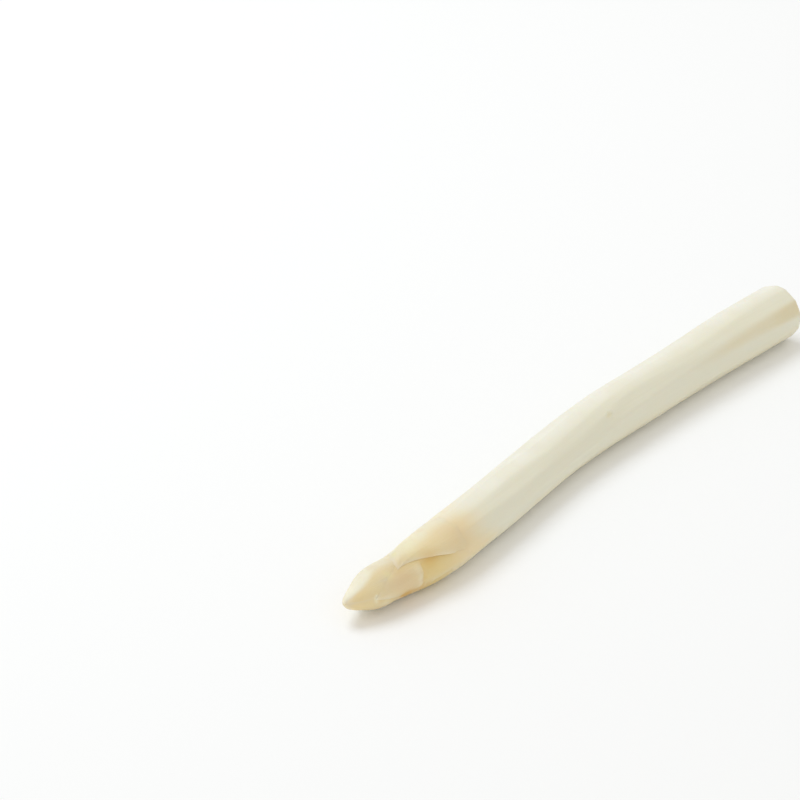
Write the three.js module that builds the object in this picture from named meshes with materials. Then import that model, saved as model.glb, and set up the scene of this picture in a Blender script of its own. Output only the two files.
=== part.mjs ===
// One spear of white asparagus, peeled below the head and lying on its side.
//
// Frame: millimetres, +Z up. The spear lies along X, with its head at -X and its cut end at +X,
// and its peeled underside rests on the plane Z = 0. The origin is under the middle of the spear.
//
// Every place on the skin is given by two numbers: its station, which is the distance from the
// tip along the spear, and its turn, the angle round the axis in degrees, which is 0 on top and
// grows towards -Y. A third number, the depth, goes from there into the flesh.

import * as THREE from "three";

// ---------------------------------------------------------------- driving dimensions

const LENGTH = 220;
const HEAD_END = 45; // the peeler starts here, so the skin and the scale leaves end here

// [station, value] pairs along the spear
const NOSE_LENGTH = 5; // over this length the tip is a blunt, round nose
const RADIUS = [[NOSE_LENGTH, 3.6], [10, 5.6], [16, 6.35], [23, 6.85], [30, 7.5], [38, 8.05],
  [55, 8.35], [95, 8.25], [125, 8.7], [160, 8.7], [188, 9.2], [LENGTH, 9.35]];
const SIDEWAYS = [[0, 0], [15, -0.9], [35, -2.7], [60, -1.35], [100, 2.8], [122, 3.75],
  [150, 3.15], [185, 2.0], [LENGTH, 0]];
const TIP_HEIGHT = 6.9; // the head is slimmer than the stalk, and its tip stays off the ground
const HEAD_SAG = 0.35; // half-way to where it rests, the head droops by this
const REST_START = 40; // from here on the underside lies on the ground
const SETTLE = 0.08; // the weight of the spear flattens the stroke that it rests on by this
const CUT_ROUNDING = 1.3; // of the edge of the cut end

// The peeler leaves flat strokes round the stalk, with a ridge between each two.
const FLATS = 12;
const FLAT_TURN = 360 / FLATS;
const FIRST_RIDGE = 20;
const RIDGE_SWAY = 4; // how far a ridge wanders, in degrees
const RIDGE_WAVE = 62; // and over what length
const RIDGE_PHASE = 2.1; // radians from one ridge to the next
// [station, turn] pairs of the three ridges on the side that lies uppermost
const UPPER_RIDGES = [
  [[HEAD_END, 21], [75, 18], [97, 27], [140, 11], [175, 21], [210, 11], [LENGTH, 13]],
  [[HEAD_END, 45], [80, 52], [110, 49], [140, 26], [165, 38], [205, 48], [LENGTH, 46]],
  [[HEAD_END, 78], [110, 80], [140, 62], [190, 58], [LENGTH, 80]],
];
const REST_RIDGES = { 5: 165, 6: 195 }; // the two ridges beside the stroke that it rests on
const PEEL_FADE = 4; // the strokes deepen over this length on both sides of the head's end

// Scale leaves, from the lowest to the highest, each a golden angle round from the last.
// base and length: station of the base, and how far the leaf reaches from it towards the tip
// left and right: each margin's half width in degrees, left being the side of smaller turns,
//   and the two exponents of (1 - v ** a) ** b that narrow it towards the apex
// swing: degrees by which the apex turns aside, lift: how far it stands off, in millimetres
const FIRST_LEAF_TURN = 24;
const GOLDEN_ANGLE = 137.5;
const SCALE_LEAVES = [
  { base: 45, length: 26.5, thickness: 0.9, left: [84, 6, 0.5], right: [76, 1, 1.2], swing: 14, lift: 0.35 },
  { base: 41, length: 24.5, thickness: 0.8, left: [60, 1, 0.55], right: [76, 2, 0.7], swing: -20, lift: 0.1 },
  { base: 36.5, length: 16, thickness: 0.75, left: [70, 3, 0.6], right: [66, 3, 0.6], swing: 8, lift: 0.15 },
  { base: 25.5, length: 17.5, thickness: 0.7, left: [60, 2.5, 1], right: [44, 2, 0.7], swing: 10, lift: 0.2 },
  { base: 25, length: 20, thickness: 0.5, left: [66, 3, 0.6], right: [62, 3, 0.6], swing: 0, lift: 0.1 },
  { base: 22.5, length: 22.4, thickness: 0.45, left: [64, 6, 0.6], right: [58, 5, 0.6], swing: 8, lift: 0 },
  { base: 19.5, length: 19.4, thickness: 0.4, left: [58, 8, 0.5], right: [66, 7, 0.6], swing: -50, lift: 0 },
  { base: 18, length: 17.9, thickness: 0.35, left: [66, 6, 0.6], right: [70, 7, 0.6], swing: 0, lift: 0 },
  { base: 14, length: 13.9, thickness: 0.3, left: [70, 5, 0.6], right: [66, 5, 0.6], swing: 0, lift: 0 },
  { base: 11.5, length: 11.4, thickness: 0.25, left: [66, 5, 0.6], right: [70, 5, 0.6], swing: 0, lift: 0 },
];
const MARGIN_SHARE = 0.45; // thickness of a leaf's margin as a share of its middle
const SWELL = 0.2; // how far the buds under the leaves push them out
const GAP = 0.3; // between neighbouring pieces
const NOSE_COVER = 0.7; // the leaves close over the stalk's own tip by this much

// Round each leaf, what lies under it stays clear for a way and then rises to the skin again.
const CLEAR = { aside: 8, ahead: 1.3, behind: 0.3 }; // degrees, then millimetres
const RISE = { aside: 16, ahead: 3, behind: 1.2 };

// where a scale leaf came away with the peel, the skin lies lower
const BARE_PATCH = { from: 26, full: 30, to: 43, left: 42, right: 100, edge: 14, depth: 0.45 };

// spacing of the meshes' points
const COLUMNS_PER_FLAT = 3;
const NOSE_RINGS = [0.2, 0.7, 1.5, 2.7, 4.5];
const HEAD_SPACING = 2;
const STALK_SPACING = 7;
const LEAF_SPACING = 2;
const LEAF_COLUMN_TURN = 13;
const APEX_CROWDING = 1.4; // over 1 brings a leaf's rows closer together at its apex

// ---------------------------------------------------------------- curves along the spear

const radians = THREE.MathUtils.degToRad;
const { clamp, lerp, smoothstep, euclideanModulo } = THREE.MathUtils;

// A smooth curve through [station, value] pairs.
function curveThrough(pairs) {
  const last = pairs.length - 1;
  const slopes = pairs.map((pair, i) => {
    const before = pairs[Math.max(0, i - 1)];
    const after = pairs[Math.min(last, i + 1)];
    return (after[1] - before[1]) / (after[0] - before[0]);
  });
  return (station) => {
    const s = clamp(station, pairs[0][0], pairs[last][0]);
    let i = 0;
    while (i < last - 1 && s > pairs[i + 1][0]) i += 1;
    const span = pairs[i + 1][0] - pairs[i][0];
    const t = (s - pairs[i][0]) / span;
    const ease = t * t * (3 - 2 * t);
    const leaving = t * (1 - t) ** 2 * slopes[i] * span;
    const arriving = t * t * (t - 1) * slopes[i + 1] * span;
    return lerp(pairs[i][1], pairs[i + 1][1], ease) + leaving + arriving;
  };
}

const bodyRadius = curveThrough(RADIUS);
const sideways = curveThrough(SIDEWAYS);
const upperRidges = UPPER_RIDGES.map(curveThrough);

function outerRadius(s) {
  if (s >= NOSE_LENGTH) return bodyRadius(s);
  return RADIUS[0][1] * Math.sqrt(Math.max(s, 0) / NOSE_LENGTH);
}

// The underside stroke is a chord of the section, and the ground is this far under the axis.
const restingReach = (s) => outerRadius(s) * Math.cos(radians(FLAT_TURN / 2)) - SETTLE;

function axisHeight(s) {
  if (s >= REST_START) return restingReach(s);
  const even = lerp(TIP_HEIGHT, restingReach(REST_START), smoothstep(s, 0, REST_START));
  return even - HEAD_SAG * Math.sin(Math.PI * s / REST_START) ** 2;
}

const axisPoint = (s) => new THREE.Vector3(s, sideways(s), axisHeight(s));

function axisDirection(s) {
  const step = 0.5;
  const from = Math.max(0, s - step);
  const to = Math.min(LENGTH, s + step);
  return axisPoint(to).sub(axisPoint(from)).normalize();
}

// ---------------------------------------------------------------- the outer form

// The turn of a ridge between two peeler strokes at a station.
function ridgeTurn(index, s) {
  if (index === FLATS) return ridgeTurn(0, s) + 360;
  if (index < upperRidges.length) return upperRidges[index](s);
  if (index in REST_RIDGES) return REST_RIDGES[index];
  const wave = Math.sin(s / RIDGE_WAVE * 2 * Math.PI + index * RIDGE_PHASE);
  return FIRST_RIDGE + index * FLAT_TURN + RIDGE_SWAY * wave;
}

// The turns of a ring of points: each ridge, and the points between it and the next.
function ringTurns(s) {
  const turns = [];
  for (let flat = 0; flat < FLATS; flat += 1) {
    for (let column = 0; column < COLUMNS_PER_FLAT; column += 1) {
      turns.push(lerp(ridgeTurn(flat, s), ridgeTurn(flat + 1, s), column / COLUMNS_PER_FLAT));
    }
  }
  return turns;
}

// Radius of the section: round in the head, and a polygon of peeler strokes below it.
function sectionRadius(s, turn) {
  const round = outerRadius(s);
  const peeled = smoothstep(s, HEAD_END - PEEL_FADE, HEAD_END + PEEL_FADE);
  if (peeled === 0) return round;
  const first = ridgeTurn(0, s);
  const wrapped = first + euclideanModulo(turn - first, 360);
  let flat = 0;
  while (flat < FLATS - 1 && wrapped > ridgeTurn(flat + 1, s)) flat += 1;
  const from = ridgeTurn(flat, s);
  const to = ridgeTurn(flat + 1, s);
  const half = radians((to - from) / 2);
  const offset = radians(wrapped - (from + to) / 2);
  return lerp(round, round * Math.cos(half) / Math.cos(offset), peeled);
}

// The point at a station and a turn, and at a depth under the skin there. Depth is measured
// square to the skin, and in the nose towards one station on the axis.
const NOSE_CENTRE = 6;
function fleshPoint(s, turn, depth) {
  const along = axisDirection(s);
  const side = new THREE.Vector3(0, 0, 1).cross(along).normalize();
  const up = along.clone().cross(side);
  const outwards = up.multiplyScalar(Math.cos(radians(turn)));
  outwards.addScaledVector(side, -Math.sin(radians(turn)));
  const radius = sectionRadius(s, turn);
  const point = axisPoint(s).addScaledVector(outwards, radius);
  const step = 0.1;
  const taper = (outerRadius(s + step) - outerRadius(s)) / step;
  const towards = Math.max(NOSE_CENTRE, s + radius * taper);
  const inwards = axisPoint(s).addScaledVector(along, towards - s).sub(point).normalize();
  point.addScaledVector(inwards, depth);
  point.z = Math.max(point.z, 0);
  return point;
}

// ---------------------------------------------------------------- how the leaves lie

// v runs from 0 at the base of a leaf to 1 at its apex, and u from -1 to 1 across it.
const leafTurn = (index, v) => {
  return FIRST_LEAF_TURN + index * GOLDEN_ANGLE + SCALE_LEAVES[index].swing * v ** 8;
};

const halfWidth = ([width, sharpness, power], v) => width * (1 - v ** sharpness) ** power;

function leafThickness(leaf, u, v) {
  const middle = (1 - Math.abs(u) ** 2.5) * (1 - v ** 3);
  return leaf.thickness * lerp(MARGIN_SHARE, 1, middle);
}

// How deep the outer face of a leaf lies: under what covers it, swollen by the bud that it
// covers, and lifted a little at its apex.
function leafDepth(index, s, turn, u, v) {
  const swell = SWELL * (1 - u * u) * Math.sin(Math.PI * v);
  return depthUnder(index, s, turn) - swell - SCALE_LEAVES[index].lift * v ** 4;
}

// How deep the skin lies under the first so many leaves, which are the outermost ones.
function depthUnder(count, s, turn) {
  const near = (distance, side) => 1 - smoothstep(distance, CLEAR[side], CLEAR[side] + RISE[side]);
  let deepest = 0;
  for (let index = 0; index < count; index += 1) {
    const leaf = SCALE_LEAVES[index];
    const v = clamp((leaf.base - s) / leaf.length, 0, 1);
    const offset = euclideanModulo(turn - leafTurn(index, v) + 180, 360) - 180;
    const reach = halfWidth(offset < 0 ? leaf.left : leaf.right, v);
    const aside = Math.abs(offset) - reach;
    const ahead = leaf.base - leaf.length - s;
    const share = near(s - leaf.base, "behind") * near(ahead, "ahead") * near(aside, "aside");
    if (share === 0) continue;
    const u = aside > 0 ? Math.sign(offset) : offset / reach;
    const inner = leafDepth(index, s, turn, u, v) + leafThickness(leaf, u, v) + GAP;
    deepest = Math.max(deepest, inner * share);
  }
  return deepest;
}

// ---------------------------------------------------------------- meshes

// Gathers points and faces into one closed mesh.
class Shell {
  positions = [];

  faces = [];

  point(place) {
    this.positions.push(place.x, place.y, place.z);
    return this.positions.length / 3 - 1;
  }

  triangle(a, b, c) {
    this.faces.push(a, b, c);
  }

  quad(a, b, c, d) {
    this.faces.push(a, b, c, a, c, d);
  }

  geometry() {
    const geometry = new THREE.BufferGeometry();
    geometry.setAttribute("position", new THREE.Float32BufferAttribute(this.positions, 3));
    geometry.setIndex(this.faces);
    geometry.computeVertexNormals();
    return geometry;
  }
}

// A leaf has an outer and an inner face, joined along its base and its two margins, which
// meet in one pair of points at the apex.
function buildLeaf(leaf, index) {
  const shell = new Shell();
  const across = Math.ceil((leaf.left[0] + leaf.right[0]) / LEAF_COLUMN_TURN);
  const along = Math.ceil(leaf.length / LEAF_SPACING);
  const rows = [];
  for (let j = 0; j <= along; j += 1) {
    const v = 1 - (1 - j / along) ** APEX_CROWDING;
    const s = leaf.base - leaf.length * v;
    const row = { outer: [], inner: [] };
    const places = j === along ? [0] : Array.from({ length: across + 1 }, (_, i) => -1 + 2 * i / across);
    for (const u of places) {
      const turn = leafTurn(index, v) + u * halfWidth(u < 0 ? leaf.left : leaf.right, v);
      const depth = leafDepth(index, s, turn, u, v);
      row.outer.push(shell.point(fleshPoint(s, turn, depth)));
      row.inner.push(shell.point(fleshPoint(s, turn, depth + leafThickness(leaf, u, v))));
    }
    rows.push(row);
  }
  for (let j = 0; j < along - 1; j += 1) {
    const low = rows[j];
    const high = rows[j + 1];
    for (let i = 0; i < across; i += 1) {
      shell.quad(low.outer[i], high.outer[i], high.outer[i + 1], low.outer[i + 1]);
      shell.quad(low.inner[i], low.inner[i + 1], high.inner[i + 1], high.inner[i]);
    }
    shell.quad(low.outer[0], low.inner[0], high.inner[0], high.outer[0]);
    shell.quad(low.inner[across], low.outer[across], high.outer[across], high.inner[across]);
  }
  const base = rows[0];
  const top = rows[along - 1];
  const outerApex = rows[along].outer[0];
  const innerApex = rows[along].inner[0];
  for (let i = 0; i < across; i += 1) {
    shell.quad(base.inner[i], base.outer[i], base.outer[i + 1], base.inner[i + 1]);
    shell.triangle(top.outer[i], outerApex, top.outer[i + 1]);
    shell.triangle(top.inner[i], top.inner[i + 1], innerApex);
  }
  shell.quad(top.outer[0], top.inner[0], innerApex, outerApex);
  shell.quad(top.inner[across], top.outer[across], outerApex, innerApex);
  return shell.geometry();
}

// Rings stand where the flesh steps down behind each leaf, and evenly between those.
function ringStations() {
  const steps = SCALE_LEAVES.flatMap((leaf) => {
    const shoulder = leaf.base + CLEAR.behind;
    return [shoulder, shoulder + RISE.behind];
  });
  const wanted = [...NOSE_RINGS, ...steps, LENGTH - 3 * CUT_ROUNDING].sort((a, b) => a - b);
  const stations = [wanted[0]];
  for (let i = 1; i < wanted.length; i += 1) {
    const from = wanted[i - 1];
    const spacing = from < HEAD_END ? HEAD_SPACING : STALK_SPACING;
    const parts = Math.max(1, Math.round((wanted[i] - from) / spacing));
    for (let part = 1; part <= parts; part += 1) stations.push(lerp(from, wanted[i], part / parts));
  }
  return stations;
}

// How much lower the skin lies where a scale leaf is gone.
function bareDepth(s, turn) {
  const { from, full, to, left, right, edge, depth } = BARE_PATCH;
  if (s < from) return 0;
  const across = smoothstep(turn, left, left + edge) * (1 - smoothstep(turn, right - edge, right));
  return depth * across * (1 - smoothstep(s, full, to));
}

const noseDepth = (s) => NOSE_COVER * (1 - smoothstep(s, NOSE_COVER, 3 * NOSE_COVER));

function buildStalk() {
  const shell = new Shell();
  const rings = ringStations().map((s) => ringTurns(s).map((turn) => {
    const laid = Math.max(noseDepth(s), depthUnder(SCALE_LEAVES.length, s, turn));
    return shell.point(fleshPoint(s, turn, laid + bareDepth(s, turn)));
  }));
  for (const angle of [0, 45, 90]) {
    const s = LENGTH - CUT_ROUNDING * (1 - Math.sin(radians(angle)));
    const inset = CUT_ROUNDING * (1 - Math.cos(radians(angle)));
    rings.push(ringTurns(s).map((turn) => shell.point(fleshPoint(s, turn, inset))));
  }
  const tip = shell.point(fleshPoint(0, 0, noseDepth(0)));
  const cutCentre = shell.point(axisPoint(LENGTH));
  const first = rings[0];
  const last = rings[rings.length - 1];
  for (let i = 0; i < first.length; i += 1) {
    const next = (i + 1) % first.length;
    shell.triangle(tip, first[next], first[i]);
    for (let r = 1; r < rings.length; r += 1) {
      shell.quad(rings[r - 1][i], rings[r - 1][next], rings[r][next], rings[r][i]);
    }
    shell.triangle(last[i], last[next], cutCentre);
  }
  return shell.geometry();
}

// ---------------------------------------------------------------- assembly

const spear = new THREE.Group();

function addPiece(name, geometry, look) {
  const mesh = new THREE.Mesh(geometry, new THREE.MeshStandardMaterial({ ...look, metalness: 0 }));
  mesh.name = name;
  spear.add(mesh);
}

const PEELED_FLESH = { color: 0xe8e3cf, roughness: 0.5 };
const SCALE_SKIN = { color: 0xdccba3, roughness: 0.55 };

addPiece("stalk", buildStalk(), PEELED_FLESH);
SCALE_LEAVES.forEach((leaf, index) => {
  const number = String(index + 1).padStart(2, "0");
  addPiece(`scale_leaf_${number}`, buildLeaf(leaf, index), SCALE_SKIN);
});

// the origin goes under the middle of the whole spear
const box = new THREE.Box3().setFromObject(spear);
const middle = box.getCenter(new THREE.Vector3());
spear.position.set(-middle.x, -middle.y, -box.min.z);

export default spear;
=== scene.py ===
"""The looks of one spear of white asparagus, peeled below the head and lying on its side.

A place on the skin is given as in the part's source: by its station, the distance from the tip
along the spear, by its turn, the angle round the axis in degrees, which is 0 on top and grows
towards -Y, and by its depth under the skin. Those are worked out in millimetres and degrees.
"""

import math
from typing import NamedTuple

import bpy
import numpy as np
from bpy.props import FloatProperty, FloatVectorProperty, PointerProperty
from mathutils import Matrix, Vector


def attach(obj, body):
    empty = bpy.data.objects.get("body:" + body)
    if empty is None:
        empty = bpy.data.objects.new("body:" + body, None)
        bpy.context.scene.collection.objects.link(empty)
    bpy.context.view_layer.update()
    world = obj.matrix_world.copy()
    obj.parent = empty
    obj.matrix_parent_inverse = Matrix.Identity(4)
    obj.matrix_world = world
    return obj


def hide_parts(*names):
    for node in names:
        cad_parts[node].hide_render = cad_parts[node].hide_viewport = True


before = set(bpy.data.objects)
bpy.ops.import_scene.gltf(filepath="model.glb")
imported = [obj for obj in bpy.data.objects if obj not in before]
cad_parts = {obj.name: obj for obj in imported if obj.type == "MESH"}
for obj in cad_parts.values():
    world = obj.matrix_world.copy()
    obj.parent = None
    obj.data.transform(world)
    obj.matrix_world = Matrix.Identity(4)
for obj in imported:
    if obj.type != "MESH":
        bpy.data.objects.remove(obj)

bl_info = {
    "name": "White asparagus spear",
    "version": (1, 0, 0),
    "blender": (4, 5, 0),
    "location": "3D View > Sidebar > Asparagus",
    "description": "Models and finishes a peeled spear of white asparagus around its packed frame",
    "category": "Add Mesh",
}

MM = 0.001  # metres

# ------------------------------------------------------------------ the spear's own dimensions

LENGTH = 220.0
HEAD_END = 45.0  # the skin and the scale leaves end here
TIP_X = -110.266  # where the axis starts, in the row frame
TIP_Y = -0.737

# (station, value) pairs along the spear
NOSE_LENGTH = 5.0
RADIUS = ((NOSE_LENGTH, 3.6), (10, 5.6), (16, 6.35), (23, 6.85), (30, 7.5), (38, 8.05), (55, 8.35),
          (95, 8.25), (125, 8.7), (160, 8.7), (188, 9.2), (LENGTH, 9.35))
SIDEWAYS = ((0, 0), (15, -0.9), (35, -2.7), (60, -1.35), (100, 2.8), (122, 3.75), (150, 3.15),
            (185, 2.0), (LENGTH, 0))
TIP_HEIGHT = 6.9
HEAD_SAG = 0.35  # half-way to where it rests, the head droops by this
REST_START = 40.0  # from here on the underside lies on the ground
SETTLE = 0.08  # the flat that it rests on is pressed in by this

CUT_ROUNDING = 1.3  # of the edge of the cut end
FACE_WAVE = 0.05  # unevenness of the cut face
FLOOR_DROP = 0.02  # the floor is this far under the spear

# ------------------------------------------------------------------ the peeler's strokes

FLATS = 12
FLAT_TURN = 360 / FLATS
FIRST_RIDGE = 20.0
RIDGE_SWAY = 4.0
RIDGE_WAVE = 62.0
RIDGE_PHASE = 2.1
UPPER_RIDGES = (
    ((HEAD_END, 21), (75, 18), (97, 27), (140, 11), (175, 21), (210, 11), (LENGTH, 13)),
    ((HEAD_END, 45), (80, 52), (110, 49), (140, 26), (165, 38), (205, 48), (LENGTH, 46)),
    ((HEAD_END, 78), (110, 80), (140, 62), (190, 58), (LENGTH, 80)),
)
REST_RIDGES = {5: 165.0, 6: 195.0}  # the two beside the flat that the spear rests on
RIDGE_BLUR = 4.5  # degrees over which a ridge is rounded off
RIDGE_SAMPLES = 7  # taken over that width
FLATNESS = 0.85  # 1 for quite flat strokes, 0 for a round section
WIDEST_HALF = 60.0  # degrees: a flat is no wider than this to either side

# Each stroke starts a little before or after the head's end, and its start is a rounded tongue.
START_SPREAD = 2.6
START_STEP = 2.4  # radians from one stroke to the next
START_PHASE = 0.6
TONGUE = 2.0
PEEL_RUN = 7.0

# shorter strokes that the peeler took on top of those: turn, first and last station, bite
EXTRA_STROKES = (
    (20, 62, 118, 0.10), (50, 84, 150, 0.12), (79, 58, 96, 0.10), (108, 120, 196, 0.14),
    (139, 60, 132, 0.12), (-128, 92, 170, 0.13), (-98, 56, 104, 0.10), (-72, 140, 206, 0.12),
    (-40, 74, 142, 0.13), (-11, 150, 200, 0.08), (232, 158, 214, 0.12), (36, 176, 208, 0.07),
)
STROKE_RUN = 14.0  # a shorter stroke deepens over this length at both ends
STROKE_SWAY = 3.0  # degrees by which it wanders
STROKE_WAVE = 31.0

# where the last stroke went deeper near the cut end: turn, stations, half widths and soft edge
DEEP_STROKE = {"turn": 60.0, "from": 158.0, "full": 190.0, "deep": (202.0, 214.0), "narrow": 7.0,
               "wide": 16.0, "edge": 9.0, "share": 0.6}

# The scars of the scale leaves that were peeled off the stalk: turn, station and how plain it is.
SCARS = ((-117.5, 64, 0.9), (105, 79, 0.25), (-32.5, 93, 0.2), (-170, 108, 0.8), (46, 122.5, 1.0),
         (-85, 140, 0.9), (137.5, 160, 0.6), (0, 182, 0.15), (-137, 205, 0.8))
SCAR_LENGTH = 4.6
SCAR_WIDTH = 2.7
SCAR_POINT = 0.75  # share of the length over which a scar narrows towards the tip
SCAR_RIM = (1.15, 0.22)  # where its lip lies, as a share of its reach, and how wide the lip is

# relief of the peeled stalk: (wavelength along, crests around) of each ripple, and its phase
FIBRE_WAVES = ((47, 23), (61, 31), (83, 17))
FIBRE_PHASE = 0.7
BROAD_WAVES = ((38, 5), (52, 9), (29, 7))
BROAD_PHASE = 2.9
HEAD_RELIEF = 0.2  # share of it on the head
RELIEF_START = (HEAD_END - 4, HEAD_END + 8)

# ------------------------------------------------------------------ the scale leaves' dimensions


class ScaleLeaf(NamedTuple):
    """One scale leaf. In a pair, the value of the left margin, at smaller turns, comes first."""

    base: float  # station of its base
    length: float  # how far it reaches from there towards the tip
    thickness: float
    left: tuple  # the margin's half width, and two exponents that narrow it towards the apex
    right: tuple
    swing: float = 0  # how far the apex turns aside
    lift: float = 0  # and stands off
    keel: float = 0  # height of the fold along the middle
    sink: float = 0  # how far the base is let into the stalk, 0 for a free base
    grown: tuple = (0, 0)  # share of the length over which a margin is grown in
    edge: tuple = (0.2, 0.2)  # thickness of a margin as a share of the leaf's
    puff: tuple = (0.08, 0.08)  # how far the leaf curves down to its margin
    mark: tuple = (0.3, 0.3)  # how deep the colour beside a margin is
    rise: tuple = (3, 3)  # over what distance from it the skin under the leaf comes up again


# from the lowest to the highest, each a golden angle round from the last
SCALE_LEAVES = (
    ScaleLeaf(45, 26.5, 0.90, (84, 6, 0.5), (76, 1, 1.2), swing=14, lift=0.04, keel=0.40, sink=0.20,
              grown=(0.3, 0.3), edge=(0.03, 0.25), puff=(0.65, 0.25), mark=(0.1, 0.7), rise=(8, 4)),
    ScaleLeaf(41, 24.5, 0.80, (60, 1, 0.55), (76, 2, 0.7), swing=-20, keel=0.10, sink=0.20,
              grown=(0.74, 0.3), edge=(0.03, 0.15), puff=(0.36, 0.5), mark=(0.8, 0.8), rise=(2, 2)),
    ScaleLeaf(36.5, 16, 0.75, (70, 3, 0.6), (66, 3, 0.6), swing=8, lift=0.05, keel=0.10, sink=0.20,
              grown=(0.25, 0.25), edge=(0.3, 0.15), puff=(0.15, 0.12), mark=(0.6, 0.6), rise=(1.5, 2)),
    ScaleLeaf(25.5, 17.5, 0.70, (60, 2.5, 1), (44, 2, 0.7), swing=10, lift=0.12, keel=0.10,
              grown=(0.9, 0), edge=(0.1, 0.2), puff=(0.0, 0.2), mark=(0.0, 0.6), rise=(5, 2)),
    ScaleLeaf(25, 20, 0.50, (66, 3, 0.6), (62, 3, 0.6), lift=0.05, keel=0.10, puff=(0.2, 0.2),
              mark=(0.7, 0.7)),
    ScaleLeaf(22.5, 22.4, 0.45, (64, 12, 0.6), (58, 10, 0.6), swing=8, keel=0.15, sink=0.20,
              edge=(0.1, 0.05), puff=(0.12, 0.03), mark=(0.4, 0.0), rise=(3, 5)),
    ScaleLeaf(19.5, 19.4, 0.40, (58, 14, 0.5), (66, 12, 0.6), swing=-50, keel=0.05, sink=0.20,
              edge=(0.1, 0.2), puff=(0.05, 0.1), mark=(0.1, 0.4), rise=(4, 3)),
    ScaleLeaf(18, 17.9, 0.35, (66, 12, 0.6), (70, 12, 0.6), sink=0.20, puff=(0.1, 0.1),
              mark=(0.4, 0.4)),
    ScaleLeaf(14, 13.9, 0.30, (70, 10, 0.6), (66, 10, 0.6)),
    ScaleLeaf(11.5, 11.4, 0.25, (66, 10, 0.6), (70, 10, 0.6)),
)
GOLDEN_ANGLE = 137.5
FIRST_LEAF_TURN = 24.0

LEAF_GAP = -0.06  # between a leaf and what lies under it: less than 0, so that they overlap a little
NOSE_COVER = 0.05  # the stalk's own tip lies this deep under the leaves
NOSE_FADE = (1, 3)  # that cover is gone between these stations
NOSE_CENTRE = 6.0  # station of the point on the axis that the nose is round about
GROWN_RUN = 1.2  # a grown-in margin meets the skin over this distance
GROWN_FADE = 0.08  # share of the length over which a margin comes free
GROWN_DEPTH = 0.12  # how far a grown-in margin dips under its neighbour
PUFF_RUN = 3.0  # a leaf curves down to its margins over this distance
CLEAR = 0.15  # beside a margin, what the leaf lies on stays low over this distance
KEEL_RUN = (0.35, 0.8)  # shares of the length between which the keel rises
KEEL_END = 0.12  # and over which it fades at the apex
LIFT_START = 0.75  # share of the length from which the apex stands off

# ribs across a leaf: waves, phase from leaf to leaf, and height as a share of the first one's
RIBS = ((21, 1, 1.0), (47, 2, 0.6))
RIB_START = (0.02, 0.2)  # they come up between these shares of the length

# A base that is let in meets the skin between these distances from its end.
BASE_START = 1.0
BASE_RUN = 3.0
SUNK_SWAY = 9  # waves of its line round the stalk

# A free base wavers, has rounded corners and is turned up a little.
BASE_WAVER = 0.35
BASE_CORNERS = 2.0
BASE_LIP = 0.10
LIP_RUN = 1.4
BASE_FADE = 0.35  # share of the length over which its shape evens out

# thickness of a base as a share of the leaf's, and over what length it thins to that
FREE_BASE = (0.35, 3.0)
SUNK_BASE = (0.05, 9.0)

# where a scale leaf came away with the peel: stations, turns, soft edge and depth
BARE_PATCH = {"from": 26.0, "full": 30.0, "to": 43.0, "left": 42.0, "right": 166.0,
              "low_right": 132.0, "edge": 14.0, "depth": 0.40}
PATCH_LEAF = 1  # the margin of this leaf reaches into the bare patch

# ------------------------------------------------------------------ where the colours change

SKIN_FADE = (39.0, 63.0)  # the skin's colour fades out between these stations
SKIN_SWAY = ((2, 0.8, 3.3), (5, 2.0, 1.6))  # waves round the stalk, phase and height of its edge
# the bud's colour, lighter partly as painted light at the shaded nose, fades out between these stations
BUD_FADE = (3, 13)
LOW_BOUNCE_TURNS = (93, 118)  # the flesh of the underside, with its painted warm bounce light, starts between these turns, on either side
CREVICE_SHADE_RUN = 1.1  # how far the painted shade of a crevice reaches
CREVICE_SHADE_START = (2, 9)  # there is none nearer to the tip

# the pale edge of a leaf: distances from the margin over which it fades, and its base
EDGE_RUN = (0.1, 1.5)
BASE_EDGE = 0.3  # share of it that is left at the base
BASE_EDGE_RUN = 3

# fine lines along a leaf: how they spread where it is wider, and how dense they are each way
VEIN_WIDENING = 2.2
VEINS_ACROSS = 6.0
VEINS_ALONG = 1.4
VEIN_STEP = 7.0  # so that no two leaves have the same lines
VEIN_END = (0.02, 0.3)  # they fade out between these shares of the length from the apex
VEINS_FROM = (0, 6)  # and between these stations at either end of the head
VEINS_TO = (36, 44)

# the cut end: how far its fibre bundles thin out in the middle, and where its own look starts
MIDDLE_BUNDLES = 0.35
BUNDLE_RUN = (0.2, 0.8)
CUT_MATERIAL_START = 0.8  # share of the rounded edge

# where the pale top of the spear, painted light, passes into its deeper side, painted shade: station and
# turn
PAINTED_SHADE_EDGE = ((0, 24), (6, 24), (12, 6), (18, 10), (25, 16), (34, 5), (46, 5), (62, 14), (120, 12),
             (LENGTH, 3))
PAINTED_SHADE_RUN = ((0, 12), (14, 13), (26, 17), (LENGTH, 19))  # and over how many degrees, either way
PAINTED_SHADE_END = (120, 165)  # past the edge, the painted shade fades out between these turns
PAINTED_SHADE_BACK = (45, 105, 145, 180)  # on the far side it comes and goes between these
PAINTED_SHADE_BACK_SHARE = 0.65
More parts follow.
